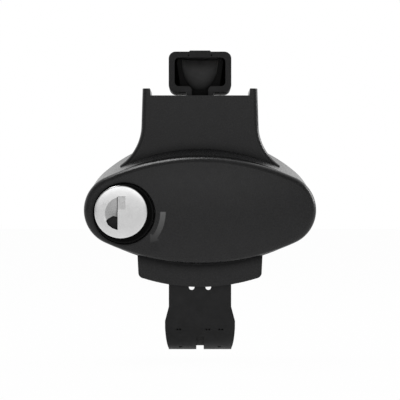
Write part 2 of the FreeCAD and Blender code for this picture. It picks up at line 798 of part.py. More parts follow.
def trunnion_nut():
    """The threaded block that the screw pulls, held by its two trunnions."""
    body = new_body("trunnion_nut")
    z = dim.screw_height
    extrude(body, "block", "X", -yoke_inner, yoke_inner,
            block(nut_depth - nut_half, nut_depth + nut_half, z - nut_high, z + nut_high))
    extrude(body, "trunnions", "X", -yoke_outer, yoke_outer, circle(nut_depth, z, trunnion_radius))
    cut(body, "thread", "Y", nut_depth - nut_half - 1, nut_depth + nut_half + 1,
        circle(0, z, dim.screw_radius + 0.06))
    return body


def return_spring():
    """Compression spring on the screw, wound in short runs: it pushes the yoke back when slackened."""
    front = -bracket_back + 0.3
    back = nut_depth - nut_half - 0.3
    wire = size(0.6)
    coil = dim.screw_radius + 1.6
    turns = 6
    runs = 14
    spring = doc.addObject("Part::Feature", "return_spring")
    spring.Label = "return_spring"
    height = back.value - front.value - 2 * wire.value
    corners = []
    for number in range(turns * runs + 1):
        angle = 2 * math.pi * number / runs
        corners.append(FreeCAD.Vector(coil.value * math.cos(angle), coil.value * math.sin(angle),
                                      height * number / (turns * runs)))
    along = (corners[1] - corners[0]).normalize()
    out = FreeCAD.Vector(1, 0, 0)
    side = along.cross(out).normalize()
    out = side.cross(along)
    section = []
    for number in range(6):
        angle = math.pi * number / 3
        section.append(corners[0] + out * (wire.value * math.cos(angle))
                       + side * (wire.value * math.sin(angle)))
    profile = Part.makePolygon(section + section[:1])
    path = Part.makePolygon(corners)
    spring.Shape = path.makePipeShell([profile], True, False, 1)
    turn_down = FreeCAD.Rotation(FreeCAD.Vector(1, 0, 0), -90)
    place = FreeCAD.Vector(0, front.value + wire.value, dim.screw_height.value)
    spring.Placement = FreeCAD.Placement(place, turn_down)
    return spring


def cross_pin(name, height):
    """A cross pin with a groove near each end for its clip."""
    body = new_body(name)
    extrude(body, "pin", "X", -pin_reach, pin_reach, circle(0, height, dim.pin_radius))
    for low, high, word in ((-clip_far, -clip_near, "left"), (clip_near, clip_far, "right")):
        cut(body, "groove_" + word, "X", low, high,
            circle(0, height, dim.pin_radius + 1), circle(0, height, groove_radius))
    return body


def pin_clips(name, height):
    """Two retaining clips, open at the bottom, one for each end of a cross pin."""
    body = new_body(name)
    plates(body, "clip", clip_near, clip_far, circle(0, height, 5.2),
           circle(0, height, groove_radius))
    cut(body, "gaps", "X", -clip_far - 0.1, clip_far + 0.1, block(-1.6, 1.6, height - 6, height))
    return body


def clamp_head():
    """The head that grips inside the load bar's channel, with its two stem plates."""
    body = new_body("clamp_head")
    half = dim.head_width / 2
    corner = dim.head_corner
    inner = corner - 1.6
    wall = dim.head_wall
    base = lip_underside
    top = head_top
    near = link_low
    far = link_high
    bend = size(1.2)
    throat = dim.seat_height - 16
    extrude(body, "profile", "Y", -dim.head_front, dim.head_back,
            [line(far, throat), line(far, base - bend), arc(far + bend, base, bend, -1),
             line(half - corner, base), arc(half, base + corner, corner, 1),
             line(half, top - corner), arc(half - corner, top, corner, 1),
             line(-half + corner, top), arc(-half, top - corner, corner, 1),
             line(-half, base + corner), arc(-half + corner, base, corner, 1),
             line(-far - bend, base), arc(-far, base - bend, bend, -1),
             line(-far, throat), line(-near, throat), line(-near, base + wall - 2.4),
             arc(-near - 2.4, base + wall, 2.4, 1), line(-half + wall + inner, base + wall),
             arc(-half + wall, base + wall + inner, inner, -1),
             line(-half + wall, top - wall - inner),
             arc(-half + wall + inner, top - wall, inner, -1),
             line(half - wall - inner, top - wall), arc(half - wall, top - wall - inner, inner, -1),
             line(half - wall, base + wall + inner),
             arc(half - wall - inner, base + wall, inner, -1), line(near + 2.4, base + wall),
             arc(near, base + wall - 2.4, 2.4, 1), line(near, throat)])
    plates(body, "stem", near, far,
           [line(dim.head_back, throat), line(-dim.head_front, throat),
            line(-6.5, throat - 14), line(-6.5, dim.head_pin_height),
            arc(0, dim.head_pin_height - 6.5, 6.5, 1),
            arc(6.5, dim.head_pin_height, 6.5, 1), line(6.5, throat - 14)])
    cut(body, "pin_hole", "X", -far - 1, far + 1, circle(0, dim.head_pin_height, dim.pin_radius))
    extrude(body, "top_rib", "Y", -dim.head_front, dim.head_back,
            [line(6.9, top), line(6.3, top + 0.7), line(-6.3, top + 0.7), line(-6.9, top)])
    cut(body, "rib_reliefs", "Y", -dim.head_front - 1, -dim.head_front + 5,
        *both(block(6.8, 7.6, top - 2.9, top - 1.7)))
    return body


def head_insert():
    """Moulded filler in the head: a funnel-shaped scoop that runs down into a tongue between the stems."""
    body = new_body("head_insert")
    half = dim.head_width / 2 - dim.head_wall
    low = lip_underside + dim.head_wall
    high = head_top - dim.head_wall
    back = dim.head_back
    corner = size(3)
    throat = size(2.4)
    tongue = link_low - tongue_gap
    front = -dim.head_front + 3
    extrude(body, "plate", "Y", back - 4, back, rounded_block(half, low, high, corner))
    base_half = half - 3.6
    top_half = half - 1.4
    extrude(body, "boss", "Y", front, back - 4,
            [line(base_half, low), line(top_half, high - corner),
             arc(top_half - corner, high, corner, 1),
             line(-top_half + corner, high), arc(-top_half, high - corner, corner, 1),
             line(-base_half, low)])
    extrude(body, "tongue", "Y", front, back,
            [line(tongue, dim.seat_height - 10), line(tongue, low - throat),
             arc(link_low + throat, low + tongue_gap, throat + tongue_gap, -1),
             line(-link_low - throat, low + tongue_gap),
             arc(-tongue, low - throat, throat + tongue_gap, -1),
             line(-tongue, dim.seat_height - 10)])
    wide = top_half - 0.5
    top = draw(body, "scoop_top", "Z", high + 0.5, circle(0, back - 8 - wide, wide))
    narrow = size(7)
    bottom = draw(body, "scoop_bottom", "Z", low - 2, circle(0, front + 1.5 - narrow, narrow))
    loft(body, "scoop", bottom, top, "SubtractiveLoft")
    return body


def rounded_block(half, low, high, corner):
    """An upright rectangle about the middle plane with rounded corners."""
    return [arc(half, low + corner, corner, 1), line(half, high - corner),
            arc(half - corner, high, corner, 1), line(-half + corner, high),
            arc(-half, high - corner, corner, 1), line(-half, low + corner),
            arc(-half + corner, low, corner, 1), line(half - corner, low)]


def strap_carriage():
    """The hook that carries the strap: two ears on the lower pin and two pegs."""
    body = new_body("strap_carriage")
    z = dim.strap_pin_height
    ring = dim.pin_radius + 3.2
    plate_front = -strap_inner
    plate_back = plate_front + 2.5
    low = hook_height - 5
    plates(body, "ear", link_low, link_high,
           [line(ring, z), arc(0, z + ring, ring, 1), line(plate_back, z - 1),
            line(plate_back, low + 9.5), line(plate_back + 6, z - 11), line(0, z - 7),
            line(4, z - 5)])
    cut(body, "pin_hole", "X", -link_high - 1, link_high + 1, circle(0, z, dim.pin_radius))
    plate_half = yoke_inner - 0.4
    extrude(body, "plate", "Y", plate_front, plate_back, block(-plate_half, plate_half, low, z - 1))
    extrude(body, "pegs", "Y", plate_front - dim.strap_gauge - 0.6, plate_front,
            *both(circle(dim.hole_spacing / 2, hook_height, dim.hole_radius - 0.2)))
    return body


# Rail strap

def strap_side(inner, outer, top, lip):
    """The strap seen along the rail: down the front, round below and up behind."""
    return [line(-inner, top), line(-outer, top), line(-outer, 0), arc(0, -outer, outer, 1),
            arc(outer, 0, outer, 1), line(outer, lip), line(inner, lip), line(inner, 0),
            arc(0, -inner, inner, -1), arc(-inner, 0, inner, -1)]


def rail_strap():
    """Steel strap, hooked on the carriage in front and bent round the rail."""
    body = new_body("rail_strap")
    wide = dim.strap_wide / 2
    slim = dim.strap_width / 2
    tail = dim.strap_tail_width / 2
    extrude(body, "bend", "X", -wide, wide,
            strap_side(strap_inner, strap_outer, dim.strap_top, dim.strap_lip))
    flare_top = size(5.6)
    flare_low = size(-3.5)
    cut(body, "waist", "Y", -strap_outer - 1, 0,
        *both([line(slim, dim.strap_top + 1), line(slim, flare_top), line(wide, flare_low),
               line(wide + 1, flare_low), line(wide + 1, dim.strap_top + 1)]))
    cut(body, "taper", "Z", -strap_outer - 1, -1,
        *both([line(wide, -strap_outer + 1.5), line(tail, -8), line(tail, strap_outer + 1),
               line(wide + 1, strap_outer + 1), line(wide + 1, -strap_outer + 1.5)]))
    cut(body, "lip_sides", "Y", 1, strap_outer + 1,
        *both(block(tail, wide + 1, -strap_outer, dim.strap_lip + 1)))
    heights = [dim.first_hole_height + dim.hole_pitch * pair for pair in range(3)]
    cut(body, "holes", "Y", -strap_outer - 1, -strap_inner + 1,
        *both(*[circle(dim.hole_spacing / 2, z, dim.hole_radius) for z in heights]))
    half = dim.slot_width / 2
    cut(body, "middle_slot", "Z", -strap_outer - 1, -dim.slot_top,
        block(-half, half, -strap_outer - 1, strap_outer - 4))
    cut(body, "front_stud_holes", "Y", -strap_outer - 1, 0,
        *[circle(x + side, -8.9, 0.6) for x in (-13.3, 4.9, 13.0) for side in (-0.9, 0.9)])
    cut(body, "lower_stud_holes", "Z", -strap_outer - 1, -strap_inner + 4,
        *both(circle(12.3, -10, 1.1)))
    soften(body, "top_corners", 3,
           lambda p, d, e: abs(d.y) > 0.9 and abs(p.z - dim.strap_top.value) < 0.01
           and abs(abs(p.x) - slim.value) < 0.01)
    return body


def strap_lining():
    """Rubber lining bonded inside the strap's bend."""
    body = new_body("strap_lining")
    half = dim.lining_width / 2
    extrude(body, "bend", "X", -half, half,
            strap_side(dim.rail_radius, strap_inner, size(9), dim.strap_lip - 1))
    groove = dim.slot_width / 2
    cut(body, "relief", "Z", -strap_outer, -strap_inner + 0.9, block(-groove, groove, -10, 10))
    return body


# Cover, lock and hinge

def bowed_oval(body, inset, back, edge, kind):
    """An oval block with the cover's bowed face and a softened edge."""
    extrude(body, "oval", "Y", -dim.cover_crown - 3, back,
            oval(cover_width / 2 - inset, dim.cover_rise - inset, dim.cover_rise - inset,
                 dim.drum_height, dim.cover_end_radius - inset, dim.cover_end_radius - inset))
    crown_bow(body, "face", dim.cover_crown - inset)
    soften(body, "front_edge", edge, lambda p, d, e: p.y < size(back).value - 0.5, kind)


def lock_boss_outline():
    """Round to the right of the lock, and on to the cover's end at its left."""
    x = lock_x + recess_shift
    z = dim.lock_height - recess_drop
    radius = recess_radius + 3.6
    end = -cover_width / 2 - 2
    return [arc(x + radius, z, radius, 1), arc(x, z + radius, radius, 1),
            line(end, z + radius), line(end, z - radius), line(x, z - radius)]


def cover():
    """Oval cover: a bowed shell with a lock seat at one end and a hinge at the other."""
    back = -dim.rim_depth - dim.parting_gap
    inside = new_body("cover_inside")
    bowed_oval(inside, dim.cover_wall, back + 1, dim.cover_edge - dim.cover_wall + 0.2, "Chamfer")
    cut(inside, "lock_boss", "Y", -dim.cover_crown - 5, seat_back, lock_boss_outline())
    body = new_body("cover")
    bowed_oval(body, size(0), back, dim.cover_edge, "Fillet")
    combine(body, "shell", inside, "Cut")
    cover_lock_seat(body)
    cover_hinge(body)
    return body


def crown_bow(body, name, crown):
    """Cuts the face to a bow in both directions."""
    reach = cover_width / 2 + 8
    axis = dim.cover_bow_height - crown
    sag = dim.cover_bow_length - root(dim.cover_bow_length * dim.cover_bow_length - reach * reach)
    edge = sag - dim.cover_bow_height
    turn(body, name, "Z", dim.drum_height, (size(0), axis),
         [line(-reach, -dim.cover_bow_height - 8),
          line(reach, -dim.cover_bow_height - 8), line(reach, edge),
          arc(0, -dim.cover_bow_height, dim.cover_bow_length, -1),
          arc(-reach, edge, dim.cover_bow_length, -1)], groove=True)


def cover_lock_seat(body):
    """A tapered recess for the knob in a boss that carries the lock sleeve."""
    x = lock_x
    z = dim.lock_height
    floor = -sleeve_front
    turn(body, "lock_recess", "Z", z - recess_drop, (x + recess_shift, floor),
         [line(recess_radius, 0), line(recess_radius + 2.2, -9), line(0, -9), line(0, 0)],
         axis="V_Axis", groove=True)
    cut(body, "sleeve_bore", "Y", floor - 1, seat_back + 1,
        circle(x, z, dim.barrel_radius + dim.sleeve_wall))


def cover_hinge(body):
    """Knuckle between the housing's two lugs."""
    x = hinge_x
    y = -dim.hinge_depth
    z = dim.drum_height
    extrude(body, "knuckle", "Z", z - knuckle_half, z + knuckle_half, circle(x, y, lug_radius))
    extrude(body, "knuckle_web", "Z", z - knuckle_half, z + knuckle_half,
            block(x - 2, x + 1.6, y - 6.6, y))
    cut(body, "knuckle_bore", "Z", z - knuckle_half - 1, z + knuckle_half + 1,
        circle(x, y, dim.hinge_pin_radius + 0.06))


def hinge_pin():
    body = new_body("hinge_pin")
    extrude(body, "pin", "Z", dim.drum_height - lug_half, dim.drum_height + lug_half - 1,
            circle(hinge_x, -dim.hinge_depth, dim.hinge_pin_radius))
    return body


def lock_sleeve():
    """Fixed sleeve that the lock barrel turns in."""
    body = new_body("lock_sleeve")
    extrude(body, "sleeve", "Y", -sleeve_front, -sleeve_back,
            circle(lock_x, dim.lock_height, dim.barrel_radius + dim.sleeve_wall),
            circle(lock_x, dim.lock_height, dim.barrel_radius + 0.06))
    return body


def lock_nut():
    """Ring nut that holds the sleeve in the cover."""
    body = new_body("lock_nut")
    across = dim.barrel_radius + dim.sleeve_wall + 3.2
    half = across * 0.8660254
    x = lock_x
    z = dim.lock_height
    extrude(body, "nut", "Y", seat_back, seat_back + 3.5,
            [line(x, z + across), line(x - half, z + across / 2), line(x - half, z - across / 2),
             line(x, z - across), line(x + half, z - across / 2), line(x + half, z + across / 2)],
            circle(x, z, dim.barrel_radius + dim.sleeve_wall))
    return body


def lock_knob():
    """Turned metal disc with a half-moon finger recess beside its grip bar."""
    body = new_body("lock_knob")
    x = lock_x
    z = dim.lock_height
    face = -dim.lock_face
    extrude(body, "disc", "Y", face, -knob_back, circle(x, z, dim.knob_radius))
    soften(body, "rim", 0.6, lambda p, d, e: abs(p.y - face.value) < 0.01, "Chamfer")
    bar = size(2)
    reach = root(dim.grip_radius * dim.grip_radius - bar * bar)
    half_moon(body, "finger_recess", x - bar, z, reach, face)
    return body


def half_moon(body, name, edge, z, reach, face):
    """A half-moon recess to the left of a straight edge."""
    radius = dim.grip_radius
    cut(body, name, "Y", face - 0.01, face + dim.grip_depth,
        [line(edge, z + reach), arc(lock_x - radius, z, radius, 1),
         arc(edge, z - reach, radius, 1)])


def lock_barrel():
    """Turning barrel with a square end for the cam."""
    body = new_body("lock_barrel")
    x = lock_x
    z = dim.lock_height
    extrude(body, "barrel", "Y", -knob_back, -cam_front, circle(x, z, dim.barrel_radius))
    extrude(body, "square_end", "Y", -cam_front, -cam_front + cam_thick,
            block(x - 3.5, x + 3.5, z - 3.5, z + 3.5))
    cut(body, "screw_bore", "Y", -cam_front - 4, -cam_front + 5, circle(x, z, 1.5))
    return body


def lock_cam():
    """Flat cam on the barrel's square end: it stands up when unlocked."""
    body = new_body("lock_cam")
    x = lock_x
    z = dim.lock_height
    half = size(4)
    width = size(7)
    extrude(body, "plate", "Y", -cam_front, -cam_front + cam_thick,
            [line(x + half, z + dim.cam_length - half), arc(x, z + dim.cam_length, half, 1),
             arc(x - half, z + dim.cam_length - half, half, 1), line(x - width, z),
             arc(x, z - width, width, 1), arc(x + width, z, width, 1)],
            block(x - 3.5, x + 3.5, z - 3.5, z + 3.5))
    return body


def cam_screw():
    """Screw that holds the cam on the barrel."""
    body = new_body("cam_screw")
    x = lock_x
    z = dim.lock_height
    seat = -cam_front + cam_thick
    extrude(body, "shank", "Y", -cam_front - 3.5, seat, circle(x, z, 1.5))
    extrude(body, "head", "Y", seat, seat + 2, circle(x, z, 5.2))
    cut(body, "drive", "Y", seat + 1, seat + 2.1, block(x - 3, x + 3, z - 0.5, z + 0.5))
    return body


def latch_plate():
    """Steel plate that the cam turns in behind."""
    body = new_body("latch_plate")
    x = latch_screw_x
    z = dim.lock_height
    extrude(body, "plate", "Y", -latch_front, -latch_front + latch_thick,
            block(x - 9, x + 3, z - 6, z + 6), circle(x, z, screw_core + 0.3))
    return body


def latch_screw():
    """Pan-head screw that holds the latch plate."""
    body = new_body("latch_screw")
    x = latch_screw_x
    z = dim.lock_height
    extrude(body, "head", "Y", -latch_front - 2, -latch_front, circle(x, z, 3.2))
    extrude(body, "shank", "Y", -latch_front, -latch_front + 12, circle(x, z, screw_core))
    cut(body, "drive", "Y", -latch_front - 2.1, -latch_front - 1,
        block(x - 2, x + 2, z - 0.4, z + 0.4))
    return body


pieces = [
    foot_body(),
    rail_pad(),
    bar_pad("bar_pad_left", mirrored(seat_pad_outline())),
    bar_pad("bar_pad_right", seat_pad_outline()),
    frame_bracket(),
    bracket_screws(),
    tension_screw(),
    screw_washer(),
    cam_yoke(),
    trunnion_nut(),
    return_spring(),
    cross_pin("head_pin", dim.head_pin_height),
    pin_clips("head_pin_clips", dim.head_pin_height),
    cross_pin("strap_pin", dim.strap_pin_height),
    pin_clips("strap_pin_clips", dim.strap_pin_height),
    clamp_head(),
    head_insert(),
    strap_carriage(),
    rail_strap(),
    strap_lining(),
    cover(),
    hinge_pin(),
    lock_sleeve(),
    lock_nut(),
    lock_knob(),
    lock_barrel(),
    lock_cam(),
    cam_screw(),
    latch_plate(),
    latch_screw(),
]
doc.recompute()

for thing in doc.Objects:
    if "Invalid" in thing.State or "Error" in thing.State:
        raise RuntimeError("%s failed: %s" % (thing.Name, thing.State))
for piece in pieces:
    if piece.Shape.isNull() or not piece.Shape.isValid() or not piece.Shape.Solids:
        raise RuntimeError("%s has no valid solid" % piece.Label)
for piece in pieces:
    piece.Shape.exportStep("parts/%s.step" % piece.Label)
    print("%s: %d solid(s), %.1f mm3" % (piece.Label, len(piece.Shape.Solids), piece.Shape.Volume))
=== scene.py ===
import json
import math

import bmesh
import bpy
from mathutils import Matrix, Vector


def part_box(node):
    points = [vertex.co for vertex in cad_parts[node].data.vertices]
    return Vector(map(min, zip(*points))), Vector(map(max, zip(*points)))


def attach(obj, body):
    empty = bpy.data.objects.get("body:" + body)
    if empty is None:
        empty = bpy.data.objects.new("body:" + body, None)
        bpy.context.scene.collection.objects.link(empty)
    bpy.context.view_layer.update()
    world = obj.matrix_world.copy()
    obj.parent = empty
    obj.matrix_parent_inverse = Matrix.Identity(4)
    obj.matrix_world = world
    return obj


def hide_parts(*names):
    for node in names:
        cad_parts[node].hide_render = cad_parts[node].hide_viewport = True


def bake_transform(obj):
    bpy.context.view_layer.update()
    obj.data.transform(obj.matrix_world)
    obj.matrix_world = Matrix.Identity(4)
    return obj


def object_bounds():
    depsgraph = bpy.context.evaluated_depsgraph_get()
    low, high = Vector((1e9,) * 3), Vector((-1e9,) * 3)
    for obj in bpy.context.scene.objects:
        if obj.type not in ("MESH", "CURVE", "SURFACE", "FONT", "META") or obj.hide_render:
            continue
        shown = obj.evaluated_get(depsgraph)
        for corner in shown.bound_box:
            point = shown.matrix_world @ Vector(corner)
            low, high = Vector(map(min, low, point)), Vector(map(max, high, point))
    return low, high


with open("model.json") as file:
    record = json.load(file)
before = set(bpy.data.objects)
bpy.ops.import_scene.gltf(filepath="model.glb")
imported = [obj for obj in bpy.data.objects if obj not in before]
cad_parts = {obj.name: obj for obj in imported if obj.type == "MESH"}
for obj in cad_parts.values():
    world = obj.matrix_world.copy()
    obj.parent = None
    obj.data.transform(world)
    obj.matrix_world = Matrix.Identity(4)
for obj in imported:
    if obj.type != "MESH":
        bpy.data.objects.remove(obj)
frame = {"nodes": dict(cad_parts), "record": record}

cad_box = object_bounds()
nodes = frame["nodes"]
scene = bpy.context.scene

# Lengths are in millimetres where they are multiplied by this
MM = 0.001

# Lock: its axis, and its knob's radius, back and rim
LOCK_X, LOCK_Z = -48.7, 64.8
KNOB_RADIUS = 16.3
KNOB_BACK = -36.5
KNOB_RIM = -39.55

# Tapered recess round the knob, where the cover gets painted shade: how far it lies off the lock's axis, where the
# painted shade begins and where it is full, and its depth
RECESS_SHIFT, RECESS_DROP = 1.6, 1.0
RECESS_OUTER, RECESS_FULL_SHADE = 20.6, 17.2
RECESS_FRONT, RECESS_FLOOR = -41.9, -40.6

# The slackened strap comes down nearly this far, so the floor lies lower
STRAP_TRAVEL = 6.6


# Camera

def put_camera():
    """Level and square to the cover, at the photograph's distance."""
    bpy.ops.object.camera_add(location=(0, -1.1, 0.0722), rotation=(math.radians(90), 0, 0))
    camera = bpy.context.object
    camera.data.sensor_width = 36
    camera.data.lens = 155.0
    camera.data.clip_start = 0.02
    camera.data.clip_end = 40
    scene.camera = camera


# Node helpers

class Tree:
    """Short ways to add nodes to a node tree."""

    def __init__(self, tree):
        self.nodes = tree.nodes
        self.links = tree.links

    def add(self, kind, **values):
        node = self.nodes.new(kind)
        for key, value in values.items():
            setattr(node, key, value)
        return node

    def link(self, start, end):
        self.links.new(start, end)

    def fill(self, node, values):
        """Gives a node's inputs, in their order, a number or what comes out of another node."""
        for number, value in enumerate(values):
            if isinstance(value, (int, float, tuple)):
                node.inputs[number].default_value = value
            else:
                self.link(value, node.inputs[number])

    def maths(self, operation, *values):
        node = self.add("ShaderNodeMath", operation=operation)
        self.fill(node, values)
        return node.outputs[0]

    def vector(self, operation, *values):
        node = self.add("ShaderNodeVectorMath", operation=operation)
        self.fill(node, values)
        return node.outputs["Value" if operation == "LENGTH" else "Vector"]

    def parts(self, vector):
        node = self.add("ShaderNodeSeparateXYZ")
        self.link(vector, node.inputs[0])
        return node.outputs

    def remap(self, value, low, high, to_low, to_high):
        ramp = self.add("ShaderNodeMapRange")
        ramp.inputs["From Min"].default_value = low
        ramp.inputs["From Max"].default_value = high
        ramp.inputs["To Min"].default_value = to_low
        ramp.inputs["To Max"].default_value = to_high
        self.link(value, ramp.inputs["Value"])
        return ramp.outputs["Result"]

    def curve(self, value, *points):
        """A smooth line through the points, from the first to the last."""
        node = self.add("ShaderNodeFloatCurve")
        line = node.mapping.curves[0]
        for place, strength in points[1:-1]:
            line.points.new(place, strength)
        line.points[0].location = points[0]
        line.points[len(points) - 1].location = points[-1]
        node.mapping.update()
        self.link(value, node.inputs["Value"])
        return node.outputs["Value"]

    def mixed(self, amount, first, second, end):
        """Two shaders mixed into end."""
        mix = self.add("ShaderNodeMixShader")
        self.fill(mix, (amount, first, second))
        self.link(mix.outputs[0], end)


class Finish(Tree):
    """A new material with its shader, and the textures that a finish is made of."""

    def __init__(self, name, base, roughness, metallic=0.0, specular=0.5):
        self.material = bpy.data.materials.new(name)
        self.material.use_nodes = True
        super().__init__(self.material.node_tree)
        self.shader = self.nodes["Principled BSDF"]
        self.shader.inputs["Base Color"].default_value = (*base, 1)
        self.shader.inputs["Roughness"].default_value = roughness
        self.shader.inputs["Metallic"].default_value = metallic
        self.shader.inputs["IOR"].default_value = 1.5
        self.shader.inputs["Specular IOR Level"].default_value = specular
        self.place = self.add("ShaderNodeTexCoord").outputs["Object"]
        self.bumps = None

    def stretched(self, scale):
        mapping = self.add("ShaderNodeMapping")
        mapping.inputs["Scale"].default_value = scale
        self.link(self.place, mapping.inputs["Vector"])
        return mapping.outputs["Vector"]

    def noise(self, scale, detail=2.0, roughness=0.5, where=None):
        noise = self.add("ShaderNodeTexNoise")
        noise.inputs["Scale"].default_value = scale
        noise.inputs["Detail"].default_value = detail
        noise.inputs["Roughness"].default_value = roughness
        self.link(where or self.place, noise.inputs["Vector"])
        return noise.outputs["Fac"]

    def grain(self, size):
        """Small rounded cells of that size in metres."""
        cells = self.add("ShaderNodeTexVoronoi", feature="SMOOTH_F1")
        cells.inputs["Scale"].default_value = 1 / size
        cells.inputs["Smoothness"].default_value = 0.6
        self.link(self.place, cells.inputs["Vector"])
        return cells.outputs["Distance"]

    def vary_colour(self, value, dark, light, low=0.3, high=0.7):
        ramp = self.add("ShaderNodeValToRGB")
        ramp.color_ramp.elements[0].position = low
        ramp.color_ramp.elements[0].color = (*dark, 1)
        ramp.color_ramp.elements[1].position = high
        ramp.color_ramp.elements[1].color = (*light, 1)
        self.link(value, ramp.inputs["Fac"])
        self.link(ramp.outputs["Color"], self.shader.inputs["Base Color"])
        return ramp.outputs["Color"]

    def vary_roughness(self, value, least, most, low=0.3):
        self.link(self.remap(value, low, 0.7, least, most), self.shader.inputs["Roughness"])

    def fade_colour(self, axis, low, high, end, dark, light):
        """From dark at low to light at high along an axis of the piece, and dark again past end."""
        along = self.parts(self.place)[axis]
        rise = self.remap(along, low * MM, high * MM, 0, 1)
        before_end = self.remap(along, end * MM, (end + 1) * MM, 1, 0)
        cloud = self.remap(self.noise(300, 3), 0.3, 0.7, 0.85, 1.0)
        share = self.maths("MULTIPLY", self.maths("MULTIPLY", rise, before_end), cloud)
        self.vary_colour(share, dark, light, 0, 1)

    def paint_corner_shade(self, reach, shine):
        """Painted shade: no shine where other faces close the place in within that reach, full shine in the open.
        """
        hollow = self.add("ShaderNodeAmbientOcclusion", samples=8)
        hollow.inputs["Distance"].default_value = reach
        self.link(self.remap(hollow.outputs["AO"], 0.45, 0.85, 0, shine), self.shader.inputs["Specular IOR Level"])

    def bump(self, height, distance, strength):
        bump = self.add("ShaderNodeBump")
        bump.inputs["Distance"].default_value = distance
        bump.inputs["Strength"].default_value = strength
        self.link(height, bump.inputs["Height"])
        if self.bumps:
            self.link(self.bumps, bump.inputs["Normal"])
        self.bumps = bump.outputs["Normal"]
        self.link(self.bumps, self.shader.inputs["Normal"])


# Finishes

def shade(base, factor):
    return [part * factor for part in base]


def mould(finish, base, roughness, grain_size):
    """The look of a spark-eroded mould: small shallow dimples and a slight mottle. Gives the colour."""
    colour = finish.vary_colour(finish.noise(160, 4, 0.6), shade(base, 0.9), shade(base, 1.1))
    finish.vary_roughness(finish.noise(900, 3), roughness - 0.05, roughness + 0.06)
    finish.bump(finish.grain(grain_size), grain_size * 0.05, 0.22)
    return colour


def fine_grain(finish):
    finish.bump(finish.noise(2600, 2), 0.00002, 0.4)


def grained_plastic(name, base, roughness, grain_size, specular):
    """Moulded plastic."""
    finish = Finish(name, base, roughness, specular=specular)
    mould(finish, base, roughness, grain_size)
    fine_grain(finish)
    return finish.material


def foot_plastic(name, base, roughness, grain_size, specular):
    """Moulded plastic of the housing, with painted shade in its corners."""
    finish = Finish(name, base, roughness)
    mould(finish, base, roughness, grain_size)
    # painted shade: less shine in the housing's corners
    finish.paint_corner_shade(0.010, specular)
    return finish.material


def cover_plastic(name, base, roughness, grain_size, specular):
    """Moulded plastic of the cover, with painted shade in the recess round the lock: less shine and a darker
    colour there.
    """
    finish = Finish(name, base, roughness, specular=specular)
    colour = mould(finish, base, roughness, grain_size)
    fine_grain(finish)
    middle = ((LOCK_X + RECESS_SHIFT) * MM, 0, (LOCK_Z - RECESS_DROP) * MM)
    away = finish.vector("MULTIPLY", finish.vector("SUBTRACT", finish.place, middle), (1, 0, 1))
    inside = finish.remap(finish.vector("LENGTH", away), RECESS_OUTER * MM, RECESS_FULL_SHADE * MM, 0, 1)
    behind = finish.remap(finish.parts(finish.place)["Y"], RECESS_FRONT * MM, RECESS_FLOOR * MM, 0, 1)
    # painted shade: how far a place lies within the recess round the lock
    recess = finish.maths("MULTIPLY", inside, behind)
    finish.link(finish.remap(recess, 0, 1, specular, 0.04), finish.shader.inputs["Specular IOR Level"])
    # painted shade: a near-black mixed into the colour in the recess
    mix = finish.add("ShaderNodeMix", data_type="RGBA")
    mix.inputs["B"].default_value = (0.002, 0.002, 0.002, 1)
    finish.link(recess, mix.inputs["Factor"])
    finish.link(colour, mix.inputs["A"])
    finish.link(mix.outputs["Result"], finish.shader.inputs["Base Color"])
    return finish.material


def graded_plastic(name, axis, span, dark, light, roughness, specular):
    """Plastic that is lighter towards one end of its span."""
    finish = Finish(name, (dark, dark, dark), roughness, specular=specular)
    finish.fade_colour(axis, *span, [dark] * 3, [light] * 3)
    finish.vary_roughness(finish.noise(900, 3), roughness - 0.05, roughness + 0.06)
    fine_grain(finish)
    return finish.material


def coated_steel(name, base, roughness):
    """Black powder coat: a soft orange peel, worn a little smoother in patches."""
    finish = Finish(name, base, roughness, specular=0.20)
    finish.vary_colour(finish.noise(240, 3), shade(base, 0.85), shade(base, 1.2))
    finish.vary_roughness(finish.noise(120, 4), roughness - 0.07, roughness + 0.08, 0.35)
    finish.bump(finish.noise(1500, 2), 0.00004, 0.5)
    return finish.material


def zinc_plated(name, base, roughness):
    """Zinc plating on rolled steel: fine streaks along the sheet and faint cloudy patches."""
    finish = Finish(name, base, roughness, metallic=1.0)
    streaks = finish.noise(1.0, 3, 0.6, finish.stretched((350, 350, 4200)))
    finish.vary_colour(finish.noise(210, 3), shade(base, 0.82), base, 0.3, 0.75)
    finish.vary_roughness(streaks, roughness - 0.08, roughness + 0.1)
    finish.bump(streaks, 0.00001, 0.5)
    return finish.material


def drawn_wire(name, base, roughness):
    """Drawn spring wire: grey with long thin die marks."""
    finish = Finish(name, base, roughness, metallic=1.0)
    marks = finish.noise(1.0, 4, 0.7, finish.stretched((2600, 500, 2600)))
    finish.vary_colour(marks, shade(base, 0.7), base)
    finish.vary_roughness(marks, roughness - 0.06, roughness + 0.12)
    return finish.material


def soft_rubber(name, base, roughness):
    """Moulded rubber: matt, with a slight bloom and a fine even grain."""
    finish = Finish(name, base, roughness, specular=0.35)
    finish.vary_colour(finish.noise(300, 5, 0.65), base, shade(base, 1.6), 0.35, 0.75)
    finish.vary_roughness(finish.noise(700, 2), roughness - 0.05, roughness + 0.08)
    finish.bump(finish.noise(3200, 3), 0.00004, 0.6)
    return finish.material


def satin_chrome(name, base, roughness):
    """Satin-plated zinc casting: nearly even, with a soft cloudiness and tiny pits."""
    finish = Finish(name, base, roughness, metallic=1.0)
    finish.vary_colour(finish.noise(260, 3), shade(base, 0.94), base)
    finish.vary_roughness(finish.noise(1200, 3), roughness - 0.04, roughness + 0.05)
    finish.bump(finish.noise(4200, 2), 0.000006, 0.5)
    return finish.material


